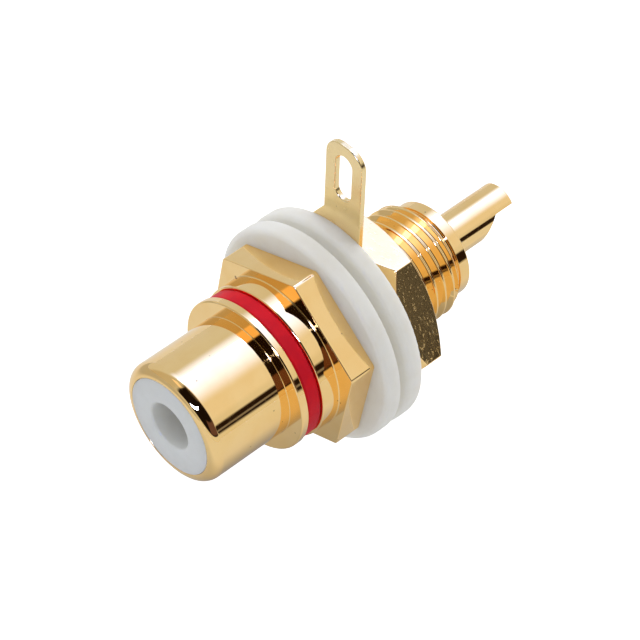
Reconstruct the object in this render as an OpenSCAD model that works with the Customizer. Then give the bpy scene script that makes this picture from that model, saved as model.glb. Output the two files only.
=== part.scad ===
// Panel-mounted phono socket, drawn in the frame of the panel that it is fixed in:
// the origin lies on the axis, in the plane of the panel's front face. The plug comes
// from -Y, the solder end points to +Y and the earth tag stands up along +Z.

/* [Plug barrel] */
// Diameter of the barrel that the plug's outer ring grips
barrel_d = 8.3; // [8:0.1:8.6]
// Length of the barrel in front of the flange
barrel_len = 6.07; // [5:0.01:9]
// Rounding of the barrel's front lip
lip_round = 0.61; // [0.3:0.01:0.65]

/* [Flange and colour ring] */
// Diameter of the land in front of the colour ring
flange_d = 10.5; // [10.2:0.1:12]
// Thickness of that land
flange_t = 0.57; // [0.3:0.01:1]
// Rounding of that land's front edge
land_front = 0.12; // [0.05:0.01:0.4]
// Rounding of the edges that face the colour ring
land_round = 0.1; // [0.02:0.01:0.14]
// Width of the colour ring
ring_w = 1.13; // [0.9:0.01:2]
// Depth, below that land, of the groove that the colour ring is stretched into
groove_depth = 0.7; // [0.4:0.05:1]
// Height of the ring's crown above the land in front of it, below 0 where it lies sunk
ring_proud = -0.1; // [-0.15:0.01:0.2]
// Radius of the crowned edges of the ring
ring_round = 0.2; // [0.1:0.01:0.35]
// Diameter of the neck behind the ring
neck_d = 10.6; // [9.8:0.1:11.4]
// Length of the neck up to the hexagon
neck_len = 1.32; // [0.8:0.01:3]

/* [Body hexagon] */
// Size across the flats of the body's hexagon
hex_af = 11.7; // [11.5:0.1:14]
// Thickness of the hexagon
hex_t = 1.91; // [1.2:0.01:4]
// Angle of one corner of the hexagon, from +X towards +Z
hex_turn = 21; // [0:1:59]

/* [Threaded shank] */
// Diameter over the crests of the thread
thread_d = 7.88; // [7.6:0.02:8]
// Pitch of the thread
thread_pitch = 0.75; // [0.5:0.05:1]
// Turns of thread that stand free behind the nut
free_turns = 5.4; // [3:0.1:10]
// Chamfer at the thread's end
thread_chamfer = 0.35; // [0.1:0.01:0.4]
// Diameter at the bottom of the relief groove
relief_d = 6.4; // [6.2:0.05:6.6]
// Width of the relief groove
relief_w = 0.4; // [0.3:0.01:1]
// Diameter of the collar that closes the shank
collar_d = 6.76; // [6.7:0.02:7.2]
// Thickness of that collar
collar_t = 0.84; // [0.4:0.01:1.5]
// Chamfer of the collar's rear edge
collar_chamfer = 0.1; // [0.02:0.01:0.2]

/* [Insulators] */
// Diameter of the front insulator
insulator_d = 6.74; // [6.4:0.02:7]
// Diameter of the hole that the plug's pin enters
pin_hole_d = 3.24; // [3.2:0.01:3.4]
// Rounding of that hole's mouth
mouth_round = 0.15; // [0.05:0.01:0.3]
// Thickness of the front wall, which hides the spring contact
front_wall = 2.2; // [1.5:0.1:3]
// Diameter of the chamber that lets the contact's fingers spread
chamber_d = 4.7; // [4.4:0.1:5]
// Thickness of the rear insulator's head, which the shank's step carries
bush_head_t = 0.9; // [0.5:0.05:1.4]
// Diameter of the rear insulator's long sleeve
bush_d = 5.2; // [5:0.1:5.4]
// Depth of the step in the body that the head seats on, in front of the hexagon's rear face
step_back = 0.3; // [0:0.05:0.8]

/* [Centre contact] */
// Bore of the spring fingers, for a 3.18 mm pin
contact_bore = 3.2; // [3.18:0.01:3.24]
// Outer diameter of the spring fingers
contact_d = 4; // [3.8:0.05:4.2]
// Depth of the contact's bore from the insulator's front face
contact_depth = 14.5; // [13:0.1:16]
// Gap between the fingers' tips and the front wall
tip_gap = 0.2; // [0.1:0.05:0.4]
// Width of the slots between the fingers
slit_w = 0.35; // [0.2:0.05:0.5]
// Length of those slots
slit_len = 5.6; // [3:0.1:6]
// Diameter of the contact's collar
contact_collar_d = 5.4; // [5:0.1:5.8]
// Thickness of that collar
contact_collar_t = 0.8; // [0.5:0.05:1.2]
// Depth behind the collar's rear face at which the contact narrows to the solder cup
contact_recess = 0.4; // [0.2:0.05:1]

/* [Solder cup] */
// Diameter of the solder cup
cup_d = 2.9; // [2.6:0.01:3.2]
// Length of the cup behind the collar
cup_len = 6.15; // [5:0.01:9]
// Bore of the cup
cup_bore = 2; // [1.6:0.1:2.2]
// Depth of the cup's bore
cup_depth = 4.3; // [3.5:0.1:5]
// Length over which half of the cup is cut away
cup_open = 1.6; // [1:0.05:2]
// Angle of the open side, from +X towards +Z
cup_turn = -55; // [-180:1:180]
// Chamfer of the cup's end
cup_chamfer = 0.1; // [0.02:0.01:0.15]

/* [Insulating washers] */
// Diameter of both washers
washer_d = 15.08; // [14:0.02:18]
// Thickness of both washers
washer_t = 1.14; // [0.8:0.01:2]
// Rounding of the washers' front edge
washer_round = 0.35; // [0.1:0.01:0.4]
// Rounding of the washers' rear edge
washer_edge = 0.08; // [0.02:0.01:0.15]
// Diameter of the front washer's shoulder, which centres it in the panel's hole
shoulder_d = 10; // [9.2:0.1:11]
// Length of that shoulder, a little less than the panel is thick
shoulder_t = 0.7; // [0.4:0.01:3]

/* [Solder tag] */
// Thickness of the tag's sheet
tag_t = 0.38; // [0.2:0.01:0.6]
// Diameter of the tag's ring
tag_ring_d = 12.6; // [11:0.1:13]
// Width of the tongue
tongue_w = 3.1; // [2.8:0.05:3.6]
// Height of the tongue's top above the axis
tongue_top = 14.3; // [12.5:0.1:18]
// Rounding of the tongue's two top corners
tongue_round = 1.25; // [0.8:0.05:1.3]
// Width of the tongue's slot
tag_slot_w = 1.34; // [1:0.01:1.6]
// Length of that slot
tag_slot_len = 3.5; // [2:0.05:4]
// Distance from the slot's top to the tongue's top
tag_slot_edge = 0.85; // [0.8:0.05:1.5]
// Height above the axis at which the flare of the tongue's root begins
flare_top = 8.35; // [7.8:0.05:9]
// Angle from +Z of the point on the ring where the flare ends
flare_foot = 40; // [20:1:45]

/* [Nut] */
// Size across the flats of the nut
nut_af = 11.76; // [11:0.02:13]
// Thickness of the nut
nut_t = 2.8; // [2:0.01:4]
// Angle of one corner of the nut, from +X towards +Z
nut_turn = 57.4; // [0:0.1:59]
// Radius that the rear chamfer takes off the face inside the flats
nut_face_cut = 0.28; // [0.1:0.01:0.5]
// Angle of the rear chamfer to the nut's face
nut_chamfer_angle = 30; // [20:1:40]
// Countersink at both ends of the nut's bore
nut_sink = 0.3; // [0.1:0.01:0.5]

/* [Clearances] */
// Gap all round a piece that is pressed or stretched into place
seat_gap = 0.02; // [0.01:0.01:0.03]
// Gap all round the thread inside the nut
thread_gap = 0.03; // [0.02:0.01:0.08]
// Gap all round the thread inside the washers
washer_gap = 0.08; // [0.04:0.01:0.2]
// Gap all round the thread inside the solder tag
tag_gap = 0.12; // [0.05:0.01:0.2]

/* [Hidden] */
$fn = 96;

gold = [0.86, 0.66, 0.27];
contact_gold = [0.80, 0.58, 0.20];
white = [0.93, 0.94, 0.95];
insulator_white = [0.84, 0.86, 0.89];
red = [0.80, 0.05, 0.09];

// Length by which a cut runs past the face that it opens
over = 0.5;
// Least width of the flat that a rounding leaves on the lip and on the land
lip_land = 0.04;
// Angle of a drill's point to the axis
drill_point = 59;

// Slope of the thread's flanks, and the depth and root width that go with its pitch
thread_flank = 30;
thread_depth = 0.6134 * thread_pitch;
thread_root = thread_pitch / 6;

// Stations along the axis, from the panel's front face
washer_y = -washer_t;
hex_y = washer_y - hex_t;
neck_y = hex_y - neck_len;
ring_y = neck_y - ring_w;
flange_y = ring_y - flange_t;
lip_y = flange_y - barrel_len;
rear_washer_y = shoulder_t;
tag_y = rear_washer_y + washer_t;
nut_y = tag_y + tag_t;
thread_end = nut_y + nut_t + free_turns * thread_pitch;
collar_y = thread_end + relief_w;
shank_end = collar_y + collar_t;
cup_end = shank_end + cup_len;

// Stations of the pieces inside
step_y = washer_y - step_back;
bush_y = step_y - bush_head_t;
contact_collar_y = bush_y - contact_collar_t;
finger_y = lip_y + front_wall + tip_gap;
contact_bore_end = lip_y + contact_depth;
contact_step_y = shank_end - contact_recess;

// Radii that follow from a size and a clearance
shank_bore_r = bush_d / 2 + seat_gap;
front_bore_r = insulator_d / 2 + seat_gap;
nut_bore_r = thread_d / 2 + thread_gap;
washer_bore_r = thread_d / 2 + washer_gap;
tag_bore_r = thread_d / 2 + tag_gap;
ring_r = flange_d / 2 + ring_proud;
groove_r = flange_d / 2 - groove_depth;
// The land's front rounding stops short of its rear edge
land_front_r = min(land_front, flange_t - land_round - lip_land);
// The lip's rounding stops short of the wall's inner edge
lip_r = min(lip_round, barrel_d / 2 - front_bore_r - lip_land);

// Turns a profile about the axis; the profile's x is the radius and its y lies along +Y
module turned() {
    rotate([-90, 0, 0]) rotate_extrude() children();
}

// Raises a flat outline, drawn as seen from the plug's side, between two stations
module plate(y, t) {
    translate([0, y + t, 0]) rotate([90, 0, 0]) linear_extrude(t) children();
}

// Half section of a disc between two stations, with its outer edges rounded
module disc(r, y0, y1, front = 0, rear = 0) {
    translate([0, y0 + front]) square([r, y1 - y0 - front - rear]);
    translate([0, y0]) square([r - front, y1 - y0 - rear]);
    translate([0, y0 + front]) square([r - rear, y1 - y0 - front]);
    if (front > 0) translate([r - front, y0 + front]) circle(front);
    if (rear > 0) translate([r - rear, y1 - rear]) circle(rear);
}

// Half section of a cylinder with a chamfer at its rear end
module chamfered(r, y0, y1, c) {
    polygon([[0, y0], [r, y0], [r, y1 - c], [r - c, y1], [0, y1]]);
}

// Half section of a blind bore that is open to the front or, with dir -1, to the rear
module drilled(r, mouth, bottom, dir = 1) {
    polygon([
        [0, mouth - dir * over], [r, mouth - dir * over],
        [r, bottom], [0, bottom + dir * r / tan(drill_point)]
    ]);
}

// Regular hexagon of a size across its flats, with a corner at an angle
module hexagon(af, turn) {
    rotate(turn) circle(d = af / cos(30), $fn = 6);
}

// The turned and milled body: barrel, lands, hexagon, shank and collar in one piece
module socket_body() {
    color(gold) difference() {
        union() {
            turned() {
                disc(barrel_d / 2, lip_y, flange_y + flange_t, front = lip_r);
                disc(flange_d / 2, flange_y, ring_y, front = land_front_r, rear = land_round);
                disc(groove_r, flange_y + land_round, neck_y + land_round);
                disc(neck_d / 2, neck_y, hex_y + over, front = land_round);
                thread_section();
                disc(relief_d / 2, thread_end - over, collar_y + over);
                chamfered(collar_d / 2, collar_y, shank_end, collar_chamfer);
            }
            plate(hex_y, hex_t) hexagon(hex_af, hex_turn);
        }
        turned() {
            disc(front_bore_r, lip_y - over, step_y);
            disc(shank_bore_r, step_y - over, shank_end + over);
        }
    }
}

// Half section of the shank along its thread
module thread_section() {
    difference() {
        chamfered(thread_d / 2, hex_y + over, thread_end, thread_chamfer);
        for (y = [thread_end - thread_pitch / 2 : -thread_pitch : washer_y + thread_pitch])
            thread_groove(y);
    }
}

// Section of one turn of the thread's groove, which the solid has as a ring without a lead
module thread_groove(y) {
    root_r = thread_d / 2 - thread_depth;
    mouth = thread_root / 2 + (thread_depth + over) * tan(thread_flank);
    polygon([
        [root_r, y - thread_root / 2], [root_r, y + thread_root / 2],
        [thread_d / 2 + over, y + mouth], [thread_d / 2 + over, y - mouth]
    ]);
}

// Soft plastic ring that marks the channel, stretched over the front land
module colour_ring() {
    color(red) turned() difference() {
        disc(ring_r, ring_y, neck_y, front = ring_round, rear = ring_round);
        disc(groove_r + seat_gap, ring_y - over, neck_y + over);
    }
}

// Front insulator, with a chamber behind its front wall for the contact's fingers
module front_insulator() {
    color(insulator_white) turned() difference() {
        disc(insulator_d / 2, lip_y, bush_y);
        disc(pin_hole_d / 2, lip_y - over, bush_y);
        mouth();
        disc(chamber_d / 2, lip_y + front_wall, bush_y);
        disc(contact_collar_d / 2 + seat_gap, contact_collar_y, bush_y + over);
    }
}

// What the rounding of the pin hole's mouth takes off the front wall's section
module mouth() {
    difference() {
        translate([0, lip_y - over]) square([pin_hole_d / 2 + mouth_round, over + mouth_round]);
        translate([pin_hole_d / 2 + mouth_round, lip_y + mouth_round]) circle(mouth_round);
    }
}

// One piece from the spring fingers through the shank to the solder cup
module centre_contact() {
    color(contact_gold) difference() {
        turned() difference() {
            union() {
                disc(contact_d / 2, finger_y, contact_step_y);
                disc(contact_collar_d / 2, contact_collar_y, bush_y);
                chamfered(cup_d / 2, contact_collar_y, cup_end, cup_chamfer);
            }
            drilled(contact_bore / 2, finger_y, contact_bore_end);
            drilled(cup_bore / 2, cup_end, cup_end - cup_depth, -1);
        }
        for (turn = [0, 90]) rotate([0, turn, 0]) slit();
        rotate([0, -cup_turn, 0]) cup_opening();
    }
}

// One saw cut through the fingers, open at their tips
module slit() {
    translate([-contact_d / 2 - over, finger_y - over, -slit_w / 2])
        cube([contact_d + 2 * over, slit_len + over, slit_w]);
}

// The half that is milled off the cup's end, with a ramp at 45 degrees in front of it
module cup_opening() {
    reach = cup_d / 2 + over;
    linear_extrude(2 * reach, center = true)
        polygon([
            [0, cup_end - cup_open], [reach, cup_end - cup_open - reach],
            [reach, cup_end + over], [0, cup_end + over]
        ]);
}

// Headed sleeve that keeps the contact off the shank
module rear_insulator() {
    color(insulator_white) turned() difference() {
        union() {
            disc(insulator_d / 2, bush_y, step_y);
            disc(bush_d / 2, bush_y, shank_end);
        }
        disc(contact_d / 2 + seat_gap, bush_y - over, shank_end + over);
    }
}

// Half section of a washer's plate, without its hole
module washer_section(y) {
    disc(washer_d / 2, y, y + washer_t, front = washer_round, rear = washer_edge);
}

// Washer in front of the panel, with the shoulder that fills the panel's hole
module front_washer() {
    color(white) turned() difference() {
        union() {
            washer_section(washer_y);
            disc(shoulder_d / 2, washer_y, shoulder_t);
        }
        disc(washer_bore_r, washer_y - over, shoulder_t + over);
    }
}

// Flat washer behind the panel
module rear_washer() {
    color(white) turned() difference() {
        washer_section(rear_washer_y);
        disc(washer_bore_r, rear_washer_y - over, rear_washer_y + washer_t + over);
    }
}

// Slot with round ends, centred on the tongue
module tag_slot() {
    end_r = tag_slot_w / 2;
    top = tongue_top - tag_slot_edge - end_r;
    bottom = top - tag_slot_len + tag_slot_w;
    translate([-end_r, bottom]) square([tag_slot_w, top - bottom]);
    for (z = [bottom, top]) translate([0, z]) circle(end_r);
}

// Stamped earth tag: ring, tongue with rounded corners, and the flare on one side of its root
module solder_tag() {
    half_w = tongue_w / 2;
    color(gold) plate(tag_y, tag_t) difference() {
        union() {
            circle(d = tag_ring_d);
            translate([-half_w, 0]) square([tongue_w, tongue_top - tongue_round]);
            translate([tongue_round - half_w, 0]) square([tongue_w - 2 * tongue_round, tongue_top]);
            for (x = [tongue_round - half_w, half_w - tongue_round])
                translate([x, tongue_top - tongue_round]) circle(tongue_round);
            polygon([
                [0, flare_top], [-half_w, flare_top],
                tag_ring_d / 2 * [-sin(flare_foot), cos(flare_foot)], [0, 0]
            ]);
        }
        circle(tag_bore_r);
        tag_slot();
    }
}

// Nut with a short front chamfer down to the flats and a wider one behind
module hex_nut() {
    flat_r = nut_af / 2;
    corner_r = flat_r / cos(30);
    face_r = flat_r - nut_face_cut;
    rear = nut_y + nut_t;
    color(gold) difference() {
        intersection() {
            plate(nut_y, nut_t) hexagon(nut_af, nut_turn);
            turned() polygon([
                [0, nut_y], [flat_r, nut_y], [corner_r + over, nut_y + corner_r + over - flat_r],
                [corner_r + over, rear - (corner_r + over - face_r) * tan(nut_chamfer_angle)],
                [face_r, rear], [0, rear]
            ]);
        }
        turned() {
            disc(nut_bore_r, nut_y - over, rear + over);
            nut_countersink(nut_y, 1);
            nut_countersink(rear, -1);
        }
    }
}

// Half section of the countersink at a face of the nut
module nut_countersink(face, dir) {
    polygon([
        [0, face - dir * over], [nut_bore_r + nut_sink + over, face - dir * over],
        [nut_bore_r, face + dir * nut_sink], [0, face + dir * nut_sink]
    ]);
}

socket_body();
colour_ring();
front_insulator();
centre_contact();
rear_insulator();
front_washer();
rear_washer();
solder_tag();
hex_nut();
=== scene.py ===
"""Dress of a panel-mounted phono socket: exact metal skins, finishes, studio and camera."""

import logging
from collections.abc import Mapping, Sequence
from dataclasses import dataclass, field
from enum import Enum
from math import acos, atan2, ceil, cos, pi, radians, sin, sqrt, tan
from typing import ClassVar

import bpy
import numpy as np
from mathutils import Matrix, Vector
from mathutils.geometry import tessellate_polygon


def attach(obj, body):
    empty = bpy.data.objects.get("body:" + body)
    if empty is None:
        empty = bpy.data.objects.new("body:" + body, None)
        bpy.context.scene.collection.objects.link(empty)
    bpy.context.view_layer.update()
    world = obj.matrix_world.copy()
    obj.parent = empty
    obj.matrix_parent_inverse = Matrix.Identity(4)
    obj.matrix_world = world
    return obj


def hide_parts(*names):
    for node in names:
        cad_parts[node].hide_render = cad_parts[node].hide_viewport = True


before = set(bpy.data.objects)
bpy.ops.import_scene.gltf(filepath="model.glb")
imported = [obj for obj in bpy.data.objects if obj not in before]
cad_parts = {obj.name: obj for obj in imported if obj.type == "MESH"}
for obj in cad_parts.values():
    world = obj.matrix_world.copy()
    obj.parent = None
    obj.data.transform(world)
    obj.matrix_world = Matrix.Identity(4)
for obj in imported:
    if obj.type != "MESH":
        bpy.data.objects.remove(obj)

log = logging.getLogger("phono_socket")

MM = 0.001
PER_RADIAN = 180 / pi
ROUND_STEPS = 192  # faces round a turned surface
EDGE_STEPS = 5  # rows of corners on a broken edge
ARC_STEP = radians(20)  # widest step on a small round
CHORD_GAP = 0.0008  # widest gap between a chord and its round, in millimetres
CLOSE = 1e-6  # lengths below this count as none, in millimetres
DECIMALS = 5  # corners that agree to these places, in millimetres, are one

Point = tuple[float, float]
Corner = tuple[float, float, float]
Triple = tuple[float, float, float]


# Shader expressions


class Wire:
    """Output of a node, with arithmetic that adds the nodes for it."""

    def __init__(self, graph: "Graph", socket: bpy.types.NodeSocket | None) -> None:
        """Wraps one output socket of a graph."""
        self.graph = graph
        self.socket = socket

    @property
    def is_vector(self) -> bool:
        """Tells whether the socket carries three values."""
        return self.socket.type in {"VECTOR", "RGBA"}

    def _math(self, operation: str, *operands: object, output: int = 0) -> "Wire":
        """Adds a node for an operation.

        Args:
            operation: Name of a Math or Vector Math operation.
            operands: Wires, numbers or threes of numbers; one vector makes it Vector Math.
            output: Place of the output; Vector Math gives plain numbers at 1.

        Returns:
            The result's wire.
        """
        wide = any(isinstance(p, tuple) or isinstance(p, Wire) and p.is_vector for p in operands)
        kind = "ShaderNodeVectorMath" if wide else "ShaderNodeMath"
        if wide:
            operands = tuple((p,) * 3 if isinstance(p, (int, float)) else p for p in operands)
        return self.graph.add(kind, {"operation": operation}, dict(enumerate(operands)), output)

    def __add__(self, other: object) -> "Wire":
        """Sum."""
        return self._math("ADD", self, other)

    def __radd__(self, other: object) -> "Wire":
        """Sum with a number on the left."""
        return self._math("ADD", other, self)

    def __sub__(self, other: object) -> "Wire":
        """Difference."""
        return self._math("SUBTRACT", self, other)

    def __rsub__(self, other: object) -> "Wire":
        """Difference from a number."""
        return self._math("SUBTRACT", other, self)

    def __mul__(self, other: object) -> "Wire":
        """Product."""
        return self._math("MULTIPLY", self, other)

    def __truediv__(self, other: object) -> "Wire":
        """Quotient."""
        return self._math("DIVIDE", self, other)

    def __abs__(self) -> "Wire":
        """Size without its sign."""
        return self._math("ABSOLUTE", self)

    def arc_tangent(self, other: "Wire") -> "Wire":
        """Angle of a point whose height is this wire, in degrees."""
        return self._math("ARCTAN2", self, other) * PER_RADIAN

    def arc_sine(self) -> "Wire":
        """Angle that has this sine, in degrees."""
        return self._math("ARCSINE", self) * PER_RADIAN

    def largest(self, other: object) -> "Wire":
        """Larger of two values."""
        return self._math("MAXIMUM", self, other)

    def length(self) -> "Wire":
        """Length of a vector."""
        return self._math("LENGTH", self, output=1)

    def dot(self, other: Triple) -> "Wire":
        """Dot product with a vector."""
        return self._math("DOT_PRODUCT", self, other, output=1)

    def distance(self, other: Triple) -> "Wire":
        """Distance from a point."""
        return self._math("DISTANCE", self, other, output=1)

    def rise(self, low: float, high: float) -> "Wire":
        """Smooth step from 0 at low to 1 at high."""
        return self.graph.add(
            "ShaderNodeMapRange",
            {"interpolation_type": "SMOOTHSTEP"},
            {"Value": self, "From Min": low, "From Max": high},
        )

    def band(self, low: float, high: float, soft: float) -> "Wire":
        """Mask that is 1 between two values and fades over a width outside them.

        Args:
            low: Value at which the mask is full.
            high: Value up to which it stays full.
            soft: Width of both fades.

        Returns:
            The mask's wire.
        """
        return self.rise(low - soft, low) * (1 - self.rise(high, high + soft))

    def mix(self, first: object, second: object) -> "Wire":
        """Blends two colours by this wire as the factor.

        Args:
            first: Colour where the wire is 0.
            second: Colour where it is 1.

        Returns:
            The blend's wire.
        """
        return self.graph.add(
            "ShaderNodeMix", {"data_type": "RGBA"}, {"Factor": self, 6: first, 7: second}, 2
        )


class Graph:
    """Node tree that is built by calls."""

    def __init__(self, tree: bpy.types.NodeTree) -> None:
        """Empties a tree and takes it over."""
        self.tree = tree
        tree.nodes.clear()

    def add(
        self,
        kind: str,
        settings: Mapping[str, object] | None = None,
        values: Mapping[str | int, object] | None = None,
        output: str | int = 0,
    ) -> Wire:
        """Adds one node.

        Args:
            kind: The node's type.
            settings: Properties that are set first.
            values: Numbers, colours or wires by socket name or place.
            output: Name or place of the output that is wanted.

        Returns:
            Wire of that output.
        """
        node = self.tree.nodes.new(kind)
        for name, setting in (settings or {}).items():
            setattr(node, name, setting)
        for key, value in (values or {}).items():
            socket = node.inputs[key]
            if isinstance(value, Wire):
                self.tree.links.new(value.socket, socket)
            elif isinstance(value, tuple) and socket.type == "RGBA":
                socket.default_value = (*value, 1.0)
            else:
                socket.default_value = value
        return Wire(self, node.outputs[output] if node.outputs else None)

    def place(self) -> Wire:
        """Position in the piece's own frame, in millimetres."""
        return self.add("ShaderNodeTexCoord", output="Object") * ((1 / MM,) * 3)

    def noise(self, where: Wire, scale: float, detail: float = 2.0) -> Wire:
        """Noise around 0.5.

        Args:
            where: Coordinates in millimetres.
            scale: Features in a millimetre.
            detail: Octaves.

        Returns:
            Wire of the noise.
        """
        values = {"Vector": where, "Scale": scale, "Detail": detail, "Roughness": 0.55}
        return self.add("ShaderNodeTexNoise", {}, values)

    def bump(self, height: Wire, microns: float) -> Wire:
        """Normal that follows a height map.

        Args:
            height: Height between 0 and 1.
            microns: Depth of the map in thousandths of a millimetre.

        Returns:
            Wire of the normal.
        """
        values = {"Distance": microns * MM * MM, "Height": height}
        return self.add("ShaderNodeBump", {}, values)


# Finishes


@dataclass(frozen=True)
class Finish:
    """Finish that all pieces of one look share."""

    name: str

    def material(self) -> bpy.types.Material:
        """Makes the material, or returns it if it exists."""
        known = bpy.data.materials.get(self.name)
        if known:
            return known
        made = bpy.data.materials.new(self.name)
        made.use_nodes = True
        graph = Graph(made.node_tree)
        shader = graph.add("ShaderNodeBsdfPrincipled", {}, self.sockets(graph))
        graph.add("ShaderNodeOutputMaterial", {}, {"Surface": shader})
        return made

    def sockets(self, graph: Graph) -> dict[str, object]:
        """Values of the shader's sockets."""
        raise NotImplementedError


@dataclass(frozen=True)
class GoldPlate(Finish):
    """Bright gold over turned brass, with faint tool marks, haze and a few pits."""

    colour: Triple = (1.0, 0.69, 0.29)
    deep: Triple = (0.98, 0.645, 0.245)
    pit_colour: Triple = (0.30, 0.16, 0.06)
    roughness: float = 0.035
    haze: float = 0.05
    grain_microns: float = 0.5
    grain_scale: float = 9.0
    marks_depth: float = 0.35
    pit_depth: float = 4.0
    dents: float = 0.0
    scar: Triple | None = None

    def sockets(self, graph: Graph) -> dict[str, object]:
        """Values of the shader's sockets.

        Args:
            graph: Tree of the material.

        Returns:
            Values and wires by socket.
        """
        here = graph.place()
        cloud = graph.noise(here, scale=0.35, detail=3.0)
        blotch = graph.noise(here + (7.0, 3.0, 1.0), scale=1.7, detail=3.0).rise(0.42, 0.75)
        pit = self._pits(graph, here)
        tint = cloud.rise(0.35, 0.7).mix(self.colour, self.deep)
        return {
            "Base Color": (pit * 0.7).mix(tint, self.pit_colour),
            "Metallic": 1.0,
            "Roughness": self.roughness + blotch * self.haze,
            "Normal": graph.bump(self._relief(graph, here, cloud, pit), self.grain_microns),
        }

    def _pits(self, graph: Graph, here: Wire) -> Wire:
        """Mask of the tiny pits, and of the larger one where the finish has it."""
        cells = graph.add("ShaderNodeTexVoronoi", {"feature": "F1"}, {"Vector": here, "Scale": 0.9})
        pit = 1 - cells.rise(0.035, 0.06)
        if self.scar:
            pit = pit + (1 - here.distance(self.scar).rise(0.05, 0.13)) * 1.4
        return pit

    def _relief(self, graph: Graph, here: Wire, cloud: Wire, pit: Wire) -> Wire:
        """Height of the surface: tool marks, grain, long waves, pits and dents."""
        marks = graph.noise(here * (0.6, 16.0, 0.6), scale=1.0)
        grain = graph.noise(here, self.grain_scale, detail=3.0)
        height = marks * self.marks_depth + grain * 0.5 + cloud * 2.0 - pit * self.pit_depth
        if self.dents:
            spots = graph.noise(here * (0.9, 4.0, 1.6), scale=1.9, detail=3.0)
            height = height - spots.rise(0.59, 0.72) * self.dents
        return height


@dataclass(frozen=True)
class Plastic(Finish):
    """Moulded or turned plastic with a fine grain, and a painted glow: a warm emission of its own,
    though it is no lamp.
    """

    colour: Triple
    shade: Triple
    roughness: float
    mottle: float = 0.1
    grain_microns: float = 2.0
    grain_scale: float = 12.0
    specular: float = 0.5
    depth: float = 0.0
    # strength of the painted glow, which stands in for light scattered through the plastic
    glow: float = 0.0

    def sockets(self, graph: Graph) -> dict[str, object]:
        """Values of the shader's sockets.

        Args:
            graph: Tree of the material.

        Returns:
            Values and wires by socket.
        """
        here = graph.place()
        cloud = graph.noise(here, scale=0.8, detail=4.0)
        grain = graph.noise(here, self.grain_scale, detail=3.0)
        marks = graph.noise(here * (0.5, 14.0, 0.5), scale=1.0)
        return {
            "Base Color": cloud.rise(0.3, 0.75).mix(self.colour, self.shade),
            "Roughness": self.roughness + (grain - 0.5) * self.mottle,
            "Specular IOR Level": self.specular,
            "Subsurface Weight": self.depth,
            "Subsurface Radius": (1.0, 0.95, 0.8),
            "Subsurface Scale": 2.0 * MM,
            # painted glow: warm, mottled emission that stands in for light scattered through the
            # plastic
            "Emission Color": cloud.rise(0.2, 0.8).mix((1.0, 0.97, 0.89), (1.0, 0.94, 0.83)),
            "Emission Strength": self.glow,
            "Normal": graph.bump(grain * 0.6 + marks * 0.4, self.grain_microns),
        }


PLATE = GoldPlate("gold_plate_turned", scar=(-4.06, -3.05, 3.50))
NUT_PLATE = GoldPlate(
    "gold_plate_milled",
    roughness=0.08,
    grain_microns=2.4,
    grain_scale=6.5,
    marks_depth=0.0,
    dents=1.3,
)
SHEET_PLATE = GoldPlate(
    "gold_plate_stamped",
    colour=(1.0, 0.765, 0.38),
    deep=(0.97, 0.725, 0.34),
    roughness=0.2,
    haze=0.08,
    marks_depth=0.0,
)
CUP_PLATE = GoldPlate("gold_plate_contact", roughness=0.07, haze=0.06)
RED_RING = Plastic(
    "ring_red_soft",
    colour=(0.76, 0.007, 0.018),
    shade=(0.60, 0.006, 0.021),
    roughness=0.45,
    mottle=0.12,
    grain_microns=1.0,
    grain_scale=8.0,
    specular=0.1,
)
WASHER_WHITE = Plastic(
    "washer_white_moulded",
    colour=(0.66, 0.66, 0.64),
    shade=(0.635, 0.63, 0.60),
    roughness=0.42,
    mottle=0.12,
    specular=0.3,
    depth=1.0,
    # painted glow that brightens the washers and the gap between them
    glow=0.13,
)
INSULATOR_WHITE = Plastic(
    "insulator_white_turned",
    colour=(0.74, 0.765, 0.765),
    shade=(0.70, 0.725, 0.72),
    roughness=0.36,
    depth=0.4,
    # painted glow that brightens the insulators
    glow=0.06,
)


# Exact skins


@dataclass(frozen=True)
class Stroke:
    """Straight stroke of a section, with the surface's normals at both ends."""

    start: Point
    end: Point
    start_normal: Point
    end_normal: Point


def arc(
    corner: np.ndarray, sides: Sequence[np.ndarray], sweep: float, way: int, radius: float
) -> list[tuple[np.ndarray, np.ndarray, np.ndarray]]:
    """Marks along the round of one corner.

    Args:
        corner: The sharp corner.
        sides: Normals of the strokes before and after it.
        sweep: Angle of the turn, in radians.
        way: 1 for a turn to the left, -1 to the right.
        radius: Radius of the round.

    Returns:
        Threes of a spot, and its normal twice.
    """
    middle = corner - way * radius * (sides[0] + sides[1]) / (1 + float(sides[0] @ sides[1]))
    step = min(ARC_STEP, 2 * acos(max(0.0, 1 - CHORD_GAP / radius)))
    parts = max(3, ceil(sweep / step))
    start = atan2(sides[0][1], sides[0][0])
    marks = []
    for k in range(parts + 1):
        angle = start + way * sweep * k / parts
        side = np.array([cos(angle), sin(angle)])
        marks.append((middle + way * radius * side, side, side))
    return marks


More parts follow.
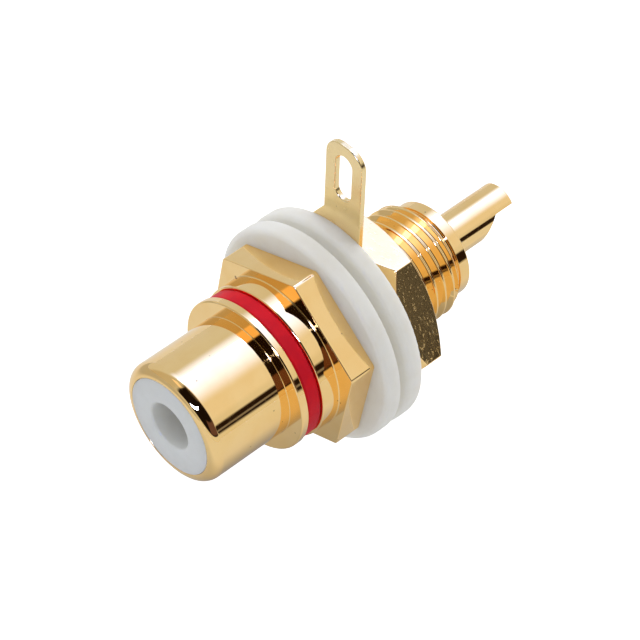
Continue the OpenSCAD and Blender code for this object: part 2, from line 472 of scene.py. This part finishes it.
def rounded(corners: Sequence[Corner], closed: bool = False) -> list[Stroke]:
    """Turns a polyline with rounded corners into strokes.

    The material lies on the left of the path, so the normals point to its right.

    Args:
        corners: Place of each corner and its rounding, in millimetres. The rounding at an
            open end isn't used.
        closed: Whether the last corner is joined to the first.

    Returns:
        The strokes in order.
    """
    spots = [np.array(corner[:2], float) for corner in corners]
    count = len(spots)
    marks: list[tuple[np.ndarray, np.ndarray, np.ndarray]] = []
    for i, spot in enumerate(spots):
        ways = [spot - spots[i - 1], spots[(i + 1) % count] - spot]
        if not closed and i in (0, count - 1):
            ways = [ways[1] if i == 0 else ways[0]] * 2
        before, after = (way / np.linalg.norm(way) for way in ways)
        sides = [np.array([w[1], -w[0]]) for w in (before, after)]
        cross = before[0] * after[1] - before[1] * after[0]
        sweep = atan2(abs(cross), float(before @ after))
        if corners[i][2] > 0 and sweep > 0:
            marks += arc(spot, sides, sweep, 1 if cross > 0 else -1, corners[i][2])
        else:
            marks.append((spot, *sides))
    if closed:
        marks.append(marks[0])
    return [
        Stroke(tuple(a), tuple(b), tuple(leave), tuple(arrive))
        for (a, _, leave), (b, arrive, _) in zip(marks, marks[1:])
        if np.linalg.norm(b - a) > CLOSE
    ]


def edge_rows(front: float, rear: float, edge: float) -> list[tuple[float, float, float, float]]:
    """Rows over the two rounded edges of a plate.

    Args:
        front: Station of the front face.
        rear: Station of the rear face.
        edge: Radius of both edges.

    Returns:
        Inset, station, and the normal's share outwards and along the axis, for each row.
    """
    return [
        (edge * (1 - sin(turn)), face + way * edge * (1 - cos(turn)), sin(turn), -way * cos(turn))
        for face, way in ((front, 1), (rear, -1))
        for turn in np.linspace(0, pi / 2, EDGE_STEPS)[::way]
    ]


@dataclass(frozen=True)
class Loop:
    """Closed curve round the axis, with the surface's normals along it."""

    points: np.ndarray
    normals: np.ndarray


class Skin:
    """Mesh that is put together from bands, with the true normal at each corner."""

    def __init__(self, angles: np.ndarray | None = None) -> None:
        """Starts a skin.

        Args:
            angles: Angles from +X towards +Z that loops round the axis share, in radians.
        """
        even = np.linspace(0, 2 * pi, ROUND_STEPS + 1)[:-1]
        self.angles = even if angles is None else angles
        self.corners: list[np.ndarray] = []
        self.normals: list[np.ndarray] = []

    @property
    def radial(self) -> np.ndarray:
        """Directions away from the axis."""
        return np.stack([np.cos(self.angles), 0 * self.angles, np.sin(self.angles)], 1)

    def loop(self, radius: object, y: object, normal: Point) -> Loop:
        """Loop with normals that lie in the planes through the axis.

        Args:
            radius: Distance from the axis, one value or one for each angle.
            y: Station along the axis, one value or one for each angle.
            normal: Share of the normal away from the axis and along it.

        Returns:
            The loop.
        """
        return Loop(
            self.radial * np.reshape(np.broadcast_to(radius, self.angles.shape), (-1, 1))
            + np.outer(np.broadcast_to(y, self.angles.shape), (0, 1, 0)),
            self.radial * normal[0] + np.array([0, normal[1], 0]),
        )

    def add(self, corners: np.ndarray, normals: np.ndarray) -> None:
        """Adds faces of four corners, given with their normals."""
        self.corners.append(corners)
        self.normals.append(normals)

    def band(self, first: Loop, last: Loop) -> None:
        """Joins two loops.

        Args:
            first: One edge of the band.
            last: The other edge.
        """
        nexts = np.roll(np.arange(len(first.points)), -1)
        quads = (first.points, first.points[nexts], last.points[nexts], last.points)
        sides = (first.normals, first.normals[nexts], last.normals[nexts], last.normals)
        self.add(np.stack(quads, 1), np.stack(sides, 1))

    def join(self, other: "Skin") -> None:
        """Takes over another skin's faces."""
        self.corners += other.corners
        self.normals += other.normals

    def lathe(self, strokes: Sequence[Stroke]) -> None:
        """Turns a section of radius and station about the axis."""
        for s in strokes:
            self.band(self.loop(*s.start, s.start_normal), self.loop(*s.end, s.end_normal))

    def piece(self, name: str, node: str, body: str, slot: str, finish: Finish) -> None:
        """Makes the piece that stands for a CAD node.

        Args:
            name: The piece's name.
            node: CAD node that it stands for.
            body: CAD body that it rides on.
            slot: Material slot of the record; not used.
            finish: Its finish.
        """
        points, faces, normals = self._welded()
        mesh = bpy.data.meshes.new(name)
        mesh.from_pydata(points * MM, [], faces)
        mesh.polygons.foreach_set("use_smooth", [True] * len(faces))
        mesh.normals_split_custom_set(normals.tolist())
        mesh.materials.append(finish.material())
        made = bpy.data.objects.new(name, mesh)
        bpy.context.scene.collection.objects.link(made)
        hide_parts(node)
        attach(made, body)
        log.info("%s: %d faces", name, len(faces))

    def _welded(self) -> tuple[np.ndarray, list[list[int]], np.ndarray]:
        """Joins corners at one place, turns faces outwards and drops empty ones.

        Returns:
            Points, faces as point numbers, and a unit normal for each face's corner.
        """
        corners, normals = np.concatenate(self.corners), np.concatenate(self.normals)
        across = np.cross(corners[:, 2] - corners[:, 0], corners[:, 3] - corners[:, 1])
        backward = (across * normals.sum(1)).sum(1) < 0
        corners[backward] = corners[backward][:, ::-1]
        normals[backward] = normals[backward][:, ::-1]
        flat = np.round(corners.reshape(-1, 3), DECIMALS)
        points, index = np.unique(flat, axis=0, return_inverse=True)
        faces, kept = [], []
        for quad, sides in zip(index.reshape(-1, 4), normals):
            use = [i for i in range(4) if quad[i] != quad[i - 1]]
            spots = [int(quad[i]) for i in use]
            if len(spots) >= 3 and len(spots) == len(set(spots)):
                faces.append(spots)
                kept.extend(sides[i] for i in use)
        return points, faces, np.array(kept) / np.linalg.norm(kept, axis=1, keepdims=True)


@dataclass(frozen=True)
class Hexagon:
    """Hexagon with rounded corners, as a curve round the axis."""

    across: float
    turn: float
    corner: float
    steps: int = 288
    corner_steps: int = 13
    narrowest: float = 1e-4
    least_round: float = 0.004

    def angles(self) -> np.ndarray:
        """Angles for a skin, closer together on the rounded corners."""
        even = np.arange(self.steps) * 2 * pi / self.steps
        past = 1.6  # how far the fine steps go beyond the round
        reach = past * atan2(self.corner * 0.5, self.across / 2 / cos(pi / 6))
        middles = np.radians(self.turn + 60 * np.arange(6))
        fine = np.add.outer(middles, reach * np.linspace(-1, 1, self.corner_steps)).ravel()
        every = np.sort(np.concatenate([even, fine % (2 * pi)]))
        return every[np.append(np.diff(every) > self.narrowest, True)]

    def curve(self, angles: np.ndarray, inset: float = 0.0) -> tuple[np.ndarray, np.ndarray]:
        """Radii and normals along the outline.

        Args:
            angles: Angles from +X towards +Z, in radians.
            inset: Distance by which the outline moves inwards.

        Returns:
            Radii, and normals as rows of x, y and z.
        """
        flat, turn, sixth = self.across / 2 - inset, radians(self.turn), pi / 3
        rounding = max(self.corner - inset, self.least_round)
        reach = (flat - rounding) / cos(sixth / 2)
        limit = atan2(rounding / 2, reach + rounding * cos(sixth / 2))
        off = (angles - turn + sixth / 2) % sixth - sixth / 2
        corner = angles - off
        middle = corner + np.where(off < 0, -sixth / 2, sixth / 2)
        on_arc = np.abs(off) < limit
        safe = np.sqrt(np.maximum(rounding**2 - (reach * np.sin(off)) ** 2, 0))
        radii = np.where(on_arc, reach * np.cos(off) + safe, flat / np.cos(angles - middle))
        lean = np.arcsin(np.clip(radii * np.sin(off) / rounding, -1, 1))
        facing = np.where(on_arc, corner + lean, middle)
        return radii, np.stack([np.cos(facing), 0 * facing, np.sin(facing)], 1)


# Sub-assemblies


@dataclass
class TurnedBody:
    """Body that is turned and milled from one bar, from the plug barrel to the rear collar."""

    THREAD_DEPTH: ClassVar[float] = 0.6134  # share of the pitch, for a thread of 60 degrees

    lip_y: float = -12.14
    flange_y: float = -6.07
    ring_y: float = -5.50
    neck_y: float = -4.37
    hex_y: float = -3.05
    washer_y: float = -1.14
    step_y: float = -1.44
    thread_end: float = 9.07
    collar_y: float = 9.47
    shank_end: float = 10.31
    barrel_r: float = 4.15
    lip_round: float = 0.74
    flange_r: float = 5.25
    groove_r: float = 4.55
    neck_r: float = 5.3
    thread_r: float = 3.94
    relief_r: float = 3.2
    collar_r: float = 3.38
    front_bore: float = 3.39
    shank_bore: float = 2.62
    pitch: float = 0.75
    crest_y: float = 6.035
    crest_angle: float = 37.0
    chamfer: float = 0.35
    edge: float = 0.05
    overlap: float = 0.1
    washer_seat_r: float = 4.5
    hexagon: Hexagon = field(default_factory=lambda: Hexagon(11.7, 21.0, 0.35))

    def build(self) -> None:
        """Builds and dresses the body."""
        skin, milled = Skin(), Skin(self.hexagon.angles())
        self._front(skin)
        self._thread(skin)
        self._rear(skin)
        self._hexagon(milled)
        skin.join(milled)
        skin.piece("body_skin", "socket_body", "socket", "gold_plate", PLATE)

    def _front(self, skin: Skin) -> None:
        """Barrel, lands, groove and neck."""
        skin.lathe(
            rounded(
                [
                    (self.front_bore, self.neck_y, 0),
                    (self.front_bore, self.lip_y, 0.05),
                    (self.barrel_r, self.lip_y, self.lip_round),
                    (self.barrel_r, self.flange_y, 0.05),
                    (self.flange_r, self.flange_y, 0.12),
                    (self.flange_r, self.ring_y, 0.1),
                    (self.groove_r, self.ring_y, 0.03),
                    (self.groove_r, self.neck_y, 0.03),
                    (self.neck_r, self.neck_y, 0.1),
                    (self.neck_r, self.hex_y, 0.08),
                    (self.neck_r + 2 * self.overlap, self.hex_y, 0),
                ]
            )
        )

    def _hexagon(self, skin: Skin) -> None:
        """Milled hexagon with broken edges."""
        loops = [skin.loop(self.neck_r + 2 * self.overlap, self.hex_y, (0, -1))]
        for inset, y, out, along in edge_rows(self.hex_y, self.washer_y, self.edge):
            radii, sides = self.hexagon.curve(skin.angles, inset)
            rim = skin.loop(radii, y, (0, 0))
            loops.append(Loop(rim.points, sides * out + np.array([0, along, 0])))
        loops.append(skin.loop(self.washer_seat_r, self.washer_y, (0, 1)))
        for first, last in zip(loops, loops[1:]):
            skin.band(first, last)

    @property
    def root_r(self) -> float:
        """Radius at the thread's root."""
        return self.thread_r - self.THREAD_DEPTH * self.pitch

    def _thread(self, skin: Skin) -> None:
        """Thread of 60 degrees, as one sheared section for each turn, and its end faces."""
        land = self.pitch / 16
        foot = land + self.THREAD_DEPTH * self.pitch * tan(pi / 6)
        half = self.pitch / 2
        section = rounded(
            [
                (self.root_r, -half, 0),
                (self.root_r, -foot, 0.07),
                (self.thread_r, -land, 0.05),
                (self.thread_r, land, 0.05),
                (self.root_r, foot, 0.07),
                (self.root_r, half, 0),
            ]
        )
        fall = self.pitch * (skin.angles - radians(self.crest_angle)) / (2 * pi)
        # Two turns more at each end: what lies beyond the thread is cut off.
        first = int((self.washer_y - self.crest_y) / self.pitch) - 2
        last = int((self.thread_end - self.crest_y) / self.pitch) + 3
        for k in range(first, last):
            base = self.crest_y + k * self.pitch - fall
            parts = 2 if base.max() + half > self.thread_end - self.chamfer else 1
            for stroke in section:
                for part in range(parts):
                    shares = (part / parts, (part + 1) / parts)
                    self._thread_strip(skin, stroke, base, shares)
        cut = self._section_radius(section, self.washer_y - self.crest_y + fall)
        self._thread_face(skin, self.washer_y, cut, self.washer_seat_r)
        cut = self._section_radius(section, self.thread_end - self.crest_y + fall)
        cut = np.minimum(cut, self.thread_r - self.chamfer)
        self._thread_face(skin, self.thread_end, cut, self.root_r - self.overlap)

    def _thread_face(self, skin: Skin, y: float, outer: np.ndarray, inner: float) -> None:
        """Closes the thread with a face that looks backwards."""
        skin.band(skin.loop(outer, y, (0, 1)), skin.loop(inner, y, (0, 1)))

    def _section_radius(self, section: Sequence[Stroke], offset: np.ndarray) -> np.ndarray:
        """Radius of the thread at a distance from a crest."""
        offset = (offset + self.pitch / 2) % self.pitch - self.pitch / 2
        stations = [section[0].start[1], *(s.end[1] for s in section)]
        radii = [section[0].start[0], *(s.end[0] for s in section)]
        return np.interp(offset, stations, radii)

    def _thread_strip(self, skin: Skin, stroke: Stroke, base: np.ndarray, shares: Point) -> None:
        """Adds one helical strip, cut off at both ends of the thread.

        Args:
            skin: Skin that takes it.
            stroke: Part of the thread's section.
            base: Station of the crest at each angle.
            shares: Where the strip starts and ends on the stroke.
        """
        tilt = self.pitch / (2 * pi * self.thread_r)
        sideways = np.stack([-np.sin(skin.angles), 0 * skin.angles, np.cos(skin.angles)], 1)
        low, high = (base + stroke.start[1], base + stroke.end[1])
        span = np.maximum(high - low, 1e-9)  # never nothing, so that it can divide
        cut = [np.clip((end - low) / span, 0, 1) for end in (self.washer_y, self.thread_end)]
        loops = []
        for share in shares:
            at = np.clip(share, *cut)
            y = low + at * span
            r = stroke.start[0] + at * (stroke.end[0] - stroke.start[0])
            out, along = (
                stroke.start_normal[i] + at * (stroke.end_normal[i] - stroke.start_normal[i])
                for i in range(2)
            )
            cap = self.thread_r - np.maximum(y - (self.thread_end - self.chamfer), 0)
            shaved = r > cap + CLOSE
            r = np.minimum(r, cap)
            out, along = (np.where(shaved, sqrt(0.5), share_of) for share_of in (out, along))
            y = np.clip(y, self.washer_y, self.thread_end)
            normals = skin.radial * out[:, None] + np.outer(along, (0, 1, 0))
            normals += sideways * np.where(shaved, 0, along * tilt)[:, None]
            loops.append(Loop(skin.loop(r, y, (0, 0)).points, normals))
        self._closed_strip(skin, *loops)

    def _closed_strip(self, skin: Skin, first: Loop, last: Loop) -> None:
        """Adds a helical strip, whose last face reaches to the next turn's height."""
        drop = np.array([0, self.pitch, 0])
        ends = []
        for loop in (first, last):
            tail = loop.points[0] - drop
            tail[1] = np.clip(tail[1], self.washer_y, self.thread_end)
            ends.append(np.vstack([loop.points, tail]))
            ends.append(np.vstack([loop.normals, loop.normals[:1]]))
        p, n, q, m = ends
        skin.add(
            np.stack([p[:-1], p[1:], q[1:], q[:-1]], 1),
            np.stack([n[:-1], n[1:], m[1:], m[:-1]], 1),
        )

    def _rear(self, skin: Skin) -> None:
        """Relief groove, collar and the bores behind it."""
        skin.lathe(
            rounded(
                [
                    (self.root_r - self.overlap, self.thread_end, 0),
                    (self.relief_r, self.thread_end, 0.04),
                    (self.relief_r, self.collar_y, 0.04),
                    (self.collar_r, self.collar_y, 0.03),
                    (self.collar_r, self.shank_end, 0.1),
                    (self.shank_bore, self.shank_end, 0.05),
                    (self.shank_bore, self.step_y, 0.01),
                    (self.front_bore, self.step_y, 0.02),
                    (self.front_bore, self.neck_y, 0),
                ]
            )
        )


@dataclass
class LockNut:
    """Hexagonal nut with a short chamfer in front and a wide one behind."""

    front: float = 2.22
    thickness: float = 2.8
    face_cut: float = 0.28
    chamfer_angle: float = 30.0
    bore: float = 3.97
    sink: float = 0.3
    margin: float = 0.2
    edge: float = 0.04
    hexagon: Hexagon = field(default_factory=lambda: Hexagon(11.76, 57.4, 0.1))

    def build(self) -> None:
        """Builds and dresses the nut."""
        skin = Skin(self.hexagon.angles())
        rear = self.front + self.thickness
        flat = self.hexagon.across / 2
        wide = tan(radians(self.chamfer_angle))
        skin.band(
            self._face(skin, self.front, 1, flat, 1.0),
            self._face(skin, rear, -1, flat - self.face_cut, wide),
        )
        mouth = self.bore + self.sink
        skin.lathe(
            rounded(
                [
                    (mouth + self.margin, rear, 0),
                    (mouth, rear, 0.03),
                    (self.bore, rear - self.sink, 0.03),
                    (self.bore, self.front + self.sink, 0.03),
                    (mouth, self.front, 0.03),
                    (mouth + self.margin, self.front, 0),
                ]
            )
        )
        skin.piece("nut_skin", "hex_nut", "nut", "nut_gold", NUT_PLATE)

    def _face(self, skin: Skin, face: float, way: int, circle: float, slope: float) -> Loop:
        """Adds one face, its chamfer and the broken edge behind it.

        Args:
            skin: Skin that takes it.
            face: Station of the face.
            way: 1 for the front face, -1 for the rear one.
            circle: Radius at which the chamfer starts.
            slope: Fall of the chamfer over its radius.

        Returns:
            The loop at which the flats start.
        """
        outline, sides = self.hexagon.curve(skin.angles)
        lean = 1 / sqrt(1 + slope**2)
        inner = np.minimum(circle, outline - self.edge)
        outer = outline - self.edge * lean
        depth = np.maximum(outer - circle, 0) * slope
        cone = (slope * lean, -way * lean)
        start = skin.loop(inner, face, (0, -way))
        skin.band(skin.loop(self.bore + self.sink + self.margin, face, (0, -way)), start)
        rim = skin.loop(outer, face + way * depth, cone)
        skin.band(skin.loop(inner, face, cone), rim)
        down = self.edge * 0.7  # where the broken edge ends on the flat
        below = np.maximum(outline - circle, 0) * slope + down
        shoulder = Loop(skin.loop(outline, face + way * below, (0, 0)).points, sides)
        skin.band(rim, shoulder)
        return shoulder


@dataclass
class EarthTag:
    """Stamped earth tag: ring, slotted tongue, and the flare at one side of its root."""

    front: float = 1.84
    thickness: float = 0.38
    ring_r: float = 6.3
    bore: float = 4.06
    half_w: float = 1.55
    top: float = 14.3
    top_round: float = 1.25
    flare_top: float = 8.35
    flare_foot: float = 40.0
    slot_half: float = 0.67
    slot_low: float = 9.95
    slot_high: float = 13.45
    root_round: float = 0.1
    edge: float = 0.07

    def build(self) -> None:
        """Builds and dresses the tag."""
        skin = Skin()
        outlines = [self._outer(), self._slot(), self._bore()]
        for strokes in outlines:
            for stroke in strokes:
                self._rim(skin, stroke)
        rims = [[self._inset(stroke) for stroke in strokes] for strokes in outlines]
        faces = np.array(tessellate_polygon(rims))
        flat = [spot for rim in rims for spot in rim]
        for y, way in ((self.front, -1), (self.front + self.thickness, 1)):
            spots = np.array([(spot.x, y, spot.y) for spot in flat])
            corners = spots[np.column_stack([faces, faces[:, 2]])]
            skin.add(corners, np.broadcast_to(np.array([0.0, way, 0.0]), corners.shape))
        skin.piece("tag_skin", "solder_tag", "tag", "tag_gold", SHEET_PLATE)

    def _inset(self, stroke: Stroke) -> Vector:
        """Start of a stroke, moved into the metal by the edge's radius."""
        (x, z), (out_x, out_z) = stroke.start, stroke.start_normal
        return Vector((x - self.edge * out_x, z - self.edge * out_z, 0))

    def _outer(self) -> list[Stroke]:
        """Outline of the ring, tongue and flare, seen from the plug side."""
        r, w, small = self.ring_r, self.half_w, self.root_round
        root = acos(w / r)
        foot = pi / 2 + radians(self.flare_foot)
        right, left = r * tan(root / 2), r * tan((pi - foot) / 2)
        corners = [
            (r, -r, r),
            (r, right, r * (1 - small / right)),
            (w, r * sin(root), small),
            (w, self.top, self.top_round),
            (-w, self.top, self.top_round),
            (-w, self.flare_top, small),
            (r * cos(foot), r * sin(foot), small),
            (-r, left, r * (1 - small / left)),
            (-r, -r, r),
        ]
        return rounded(corners, closed=True)

    def _slot(self) -> list[Stroke]:
        """Slot with round ends, walked with the metal on the left."""
        w, low, high = self.slot_half, self.slot_low, self.slot_high
        return rounded([(-w, low, w), (-w, high, w), (w, high, w), (w, low, w)], closed=True)

    def _bore(self) -> list[Stroke]:
        """Hole that passes the shank."""
        r = self.bore
        return rounded([(-r, -r, r), (-r, r, r), (r, r, r), (r, -r, r)], closed=True)

    def _rim(self, skin: Skin, stroke: Stroke) -> None:
        """Adds the wall and both rounded edges along one stroke."""
        start = (np.array(stroke.start), np.array(stroke.start_normal))
        end = (np.array(stroke.end), np.array(stroke.end_normal))
        rows = edge_rows(self.front, self.front + self.thickness, self.edge)
        for near, far in zip(rows, rows[1:]):
            corners, normals = [], []
            for (spot, side), row in ((start, near), (end, near), (end, far), (start, far)):
                inset, y, out, along = row
                at = spot - inset * side
                corners.append((at[0], y, at[1]))
                normals.append((out * side[0], along, out * side[1]))
            skin.add(np.array([corners]), np.array([normals]))


class CadPart(Enum):
    """CAD nodes that are shown as they are, each with its finish."""

    COLOUR_RING = ("colour_ring", RED_RING)
    FRONT_INSULATOR = ("front_insulator", INSULATOR_WHITE)
    REAR_INSULATOR = ("rear_insulator", INSULATOR_WHITE)
    FRONT_WASHER = ("front_washer", WASHER_WHITE)
    REAR_WASHER = ("rear_washer", WASHER_WHITE)
    CENTRE_CONTACT = ("centre_contact", CUP_PLATE)

    def dress(self) -> None:
        """Puts the finish on the node."""
        node, finish = self.value
        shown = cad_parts[node]
        shown.data.materials.clear()
        shown.data.materials.append(finish.material())
        log.info("%s: %s", node, finish.name)


# Studio


BLACK = (0.0, 0.0, 0.0)
WHITE = (1.0, 1.0, 1.0)
SOOT = (0.010, 0.006, 0.004)


class Sky:
    """Direction of a ray: azimuth and height in degrees, and its place on a ceiling."""

    def __init__(self, graph: Graph) -> None:
        """Adds the nodes that all of the surroundings share.

        Args:
            graph: The world's tree.
        """
        way = graph.add("ShaderNodeTexCoord", output="Generated")
        split = graph.add("ShaderNodeSeparateXYZ", {}, {0: way}).socket.node
        x, y, z = (Wire(graph, output) for output in split.outputs)
        self.azimuth = y.arc_tangent(x)
        self.height = z.arc_sine()
        over = z.largest(0.05)
        self.across, self.ahead, self.above = x / over, y / over, z.rise(0.2, 0.4)


@dataclass(frozen=True)
class Patch:
    """Card in the surroundings between two azimuths and two heights, in degrees."""

    azimuths: Point
    heights: Point
    soft: Point
    colour: Triple
    share: float = 1.0

    def over(self, sky: Sky, shown: Wire) -> Wire:
        """Lays the card over what is shown so far."""
        beside = sky.azimuth.band(*self.azimuths, self.soft[0])
        area = beside * sky.height.band(*self.heights, self.soft[1])
        return (area * self.share).mix(shown, self.colour)


LEFT_CARD = Patch((-150, -118), (-25, 75), (14, 12), (0.55, 0.52, 0.46), 0.9)
RIGHT_CARD = Patch((15, 70), (28, 60), (15, 10), (0.84, 0.84, 0.88))
PAPER_CARD = Patch((-137, -110), (47, 59), (5, 4), (1.05, 0.9, 0.75))


@dataclass(frozen=True)
class Tent:
    """White tent with a dark opening towards the camera and a soft box overhead."""

    wall: Triple = (0.76, 0.77, 0.79)
    back_wall: Triple = (0.66, 0.71, 0.82)
    fill: Triple = (1.45, 1.45, 1.45)
    soft_box: Triple = (1.3, 1.75, 3.9)
    tube: Triple = (15.0, 21.0, 55.0)

    def build(self) -> None:
        """Makes the world: white to the camera, plain to dull surfaces, the tent to bright ones."""
        world = bpy.data.worlds.new("tent")
        bpy.context.scene.world = world
        world.use_nodes = True
        graph = Graph(world.node_tree)
        sky = Sky(graph)
        opening = self._opening(sky)
        ray = graph.add("ShaderNodeLightPath").socket.node
        glossy = Wire(graph, ray.outputs["Is Glossy Ray"])
        camera = Wire(graph, ray.outputs["Is Camera Ray"])
        shown = glossy.mix(self._plain(sky, opening), self._bright(sky, opening))
        shown = camera.mix(shown, WHITE)
        light = graph.add("ShaderNodeBackground", {}, {"Color": shown, "Strength": 1.0})
        graph.add("ShaderNodeOutputWorld", {}, {"Surface": light})
        log.info("world: tent")

    def _opening(self, sky: Sky) -> Wire:
        """Mask of the dark opening, which falls a little to the right."""
        between = sky.azimuth.rise(-113, -106) * (1 - sky.azimuth.rise(15, 20))
        gap = between * (sky.height + sky.azimuth * 0.12).band(-2, 62, 5)
        return gap * sky.height.rise(-1.5, 0)

    def _plain(self, sky: Sky, opening: Wire) -> Wire:
        """What lights dull surfaces: walls, half of the opening's dark, and a wide light."""
        wide = sky.across.band(-0.9, 0.5, 0.2) * sky.ahead.band(-0.2, 1.0, 0.2) * sky.above
        return wide.mix((opening * 0.5).mix(self.wall, BLACK), self.fill)

    def _bright(self, sky: Sky, opening: Wire) -> Wire:
        """What bright surfaces reflect.

        Args:
            sky: Direction of the ray.
            opening: Mask of the dark opening.

        Returns:
            Wire of the colour.
        """
        shown = (abs(sky.azimuth).rise(95, 120) * 0.9).mix(self.wall, self.back_wall)
        for card in (LEFT_CARD, RIGHT_CARD, PAPER_CARD):
            shown = card.over(sky, shown)
        front = (sky.ahead - sky.across * 0.37).rise(0.05, 0.23)
        shown = self._hood(sky, shown, front)
        brown = sky.azimuth.rise(-37, -31) * sky.height.band(4, 24, 4)
        shown = opening.mix(shown, brown.mix(SOOT, (0.13, 0.07, 0.07)))
        shown = self._tube(sky).mix(shown, self.tube)
        shown = self._seam(sky, shown)
        return self._overhead(sky, front).mix(shown, self._glare(sky))

    def _hood(self, sky: Sky, shown: Wire, front: Wire) -> Wire:
        """Dark hood beside the soft box, which is paler away from the camera."""
        hood = sky.across.rise(-0.24, -0.08) * (1 - sky.azimuth.rise(16, 30)) * sky.above
        dim = sky.ahead.rise(-0.35, 0.1).mix(SOOT, (0.11, 0.085, 0.07))
        return (hood * (1 - front)).mix(shown, dim)

    def _tube(self, sky: Sky) -> Wire:
        """Mask of the slanted light tube in the opening, with a thin end."""
        cosine, sine = 0.793, 0.610
        beyond, over = sky.azimuth + 65, sky.height - 33
        along = beyond * cosine + over * sine
        beside = over * cosine - beyond * sine
        body = along.band(-24, 10, 4) * beside.band(-2.2, 2.2, 1.0)
        return body.largest(along.band(10, 23, 1.5) * beside.band(-0.7, 0.7, 0.5))

    def _seam(self, sky: Sky, shown: Wire) -> Wire:
        """Dark seam of the tent on the right, with a pale line in it and a dull card below."""
        lower = (sky.height + (sky.azimuth - 26.5) * 0.7).rise(-5, 0)
        seam = sky.azimuth.band(20, 44, 3) * lower * (1 - sky.height.rise(11, 15))
        line = sky.height.band(3.2, 4.2, 1.8) * (1 - sky.azimuth.rise(28.5, 31))
        shown = seam.mix(shown, line.mix((0.018, 0.009, 0.005), (0.24, 0.23, 0.25)))
        card = sky.azimuth.band(29.7, 31.2, 0.6) * sky.height.band(-9, -1.5, 1.0)
        dull = sky.height.rise(-3.7, -3.0).mix((0.015, 0.015, 0.025), (0.12, 0.12, 0.12))
        return card.mix(shown, dull)

    def _overhead(self, sky: Sky, front: Wire) -> Wire:
        """Mask of the soft box, full in its left part and fading to the right."""
        box = sky.across.rise(-0.97, -0.35) * (1 - sky.across.rise(-0.12, 0.76)) * sky.above
        return box * front * (1 - sky.ahead.rise(1.0, 1.12))

    def _glare(self, sky: Sky) -> Wire:
        """Colour of the soft box, with a stronger core."""
        return (sky.across.band(-0.42, -0.22, 0.06) * 1.2 + 1) * self.soft_box


@dataclass(frozen=True)
class Floor:
    """Pale floor that looks white and keeps the object's shadow."""

    height: float = -0.016
    reach: float = 2.5
    end: float = 0.097
    glow: float = 0.6

    def build(self) -> None:
        """Makes the floor; it ends on the right, where the tent shows below the horizon."""
        far, end = self.reach, self.end
        corners = [(-far, -far, 0), (end, -far, 0), (end, far, 0), (-far, far, 0)]
        mesh = bpy.data.meshes.new("floor")
        mesh.from_pydata(corners, [], [(0, 1, 2, 3)])
        mesh.materials.append(self._paper())
        floor = bpy.data.objects.new("floor", mesh)
        floor.location = (0, 0, self.height)
        bpy.context.scene.collection.objects.link(floor)
        log.info("floor: %.3f m below the axis", -self.height)

    def _paper(self) -> bpy.types.Material:
        """Paper that glows to the camera, and in reflections shows its own colours with a painted
        shadow near the object.
        """
        material = bpy.data.materials.new("floor_paper")
        material.use_nodes = True
        graph = Graph(material.node_tree)
        where = graph.add("ShaderNodeTexCoord", output="Object")
        ray = graph.add("ShaderNodeLightPath").socket.node
        glossy = Wire(graph, ray.outputs["Is Glossy Ray"])
        camera = Wire(graph, ray.outputs["Is Camera Ray"])
        tint = graph.noise(where, 6.0).mix((0.80, 0.80, 0.79), (0.78, 0.78, 0.78))
        values = {"Base Color": glossy.mix(tint, self._reflected(where)), "Roughness": 0.9}
        paper = graph.add("ShaderNodeBsdfPrincipled", {}, values)
        glow = graph.add("ShaderNodeEmission", {}, {"Color": WHITE, "Strength": self.glow})
        both = graph.add("ShaderNodeAddShader", {}, {0: paper, 1: glow})
        seen = graph.add("ShaderNodeMixShader", {}, {0: camera, 1: paper, 2: both})
        graph.add("ShaderNodeOutputMaterial", {}, {"Surface": seen})
        return material

    def _reflected(self, where: Wire) -> Wire:
        """Colour in reflections: a painted shadow that darkens the floor near the object, and a
        darker far part on the camera's left.
        """
        slant = 0.707
        # painted shadow: the floor is darker near the object, seen in reflections only
        painted_shadow = (where * (1.0, 0.35, 1.0)).length().rise(-0.004, 0.018)
        painted_shadow_tone = painted_shadow.mix((0.40, 0.41, 0.44), (0.88, 0.91, 0.97))
        aside, across = where.dot((-slant, -slant, 0.0)), where.dot((slant, -slant, 0.0))
        far = (aside - abs(across) * 0.5).rise(0.028, 0.048)
        return far.mix(painted_shadow_tone, (0.56, 0.56, 0.56))


@dataclass(frozen=True)
class PhotoCamera:
    """Camera at the photograph's place, from a fit to the rims of the turned parts."""

    place: Triple = (0.080482, -0.080767, 0.124613)
    right: Triple = (0.68847, 0.72475, 0.02729)
    up: Triple = (-0.54652, 0.49368, 0.67646)
    lens: float = 152.55

    def build(self) -> None:
        """Makes the camera the scene's own."""
        data = bpy.data.cameras.new("photo_camera")
        data.lens, data.sensor_width = self.lens, 36.0
        data.clip_start, data.clip_end = 0.01, 20.0
        camera = bpy.data.objects.new("photo_camera", data)
        right, up = Vector(self.right).normalized(), Vector(self.up)
        back = right.cross(up).normalized()
        up = back.cross(right)
        turn = Matrix((right, up, back)).transposed().to_4x4()
        camera.matrix_world = Matrix.Translation(self.place) @ turn
        bpy.context.scene.collection.objects.link(camera)
        bpy.context.scene.camera = camera


def main() -> None:
    """Builds and dresses the socket, then the studio and the camera."""
    logging.basicConfig(level=logging.INFO, format="%(name)s: %(message)s")
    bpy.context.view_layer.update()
    TurnedBody().build()
    LockNut().build()
    EarthTag().build()
    for part in CadPart:
        part.dress()
    Tent().build()
    Floor().build()
    PhotoCamera().build()
    bpy.context.scene.view_settings.view_transform = "Standard"


if __name__ == "__main__":
    main()
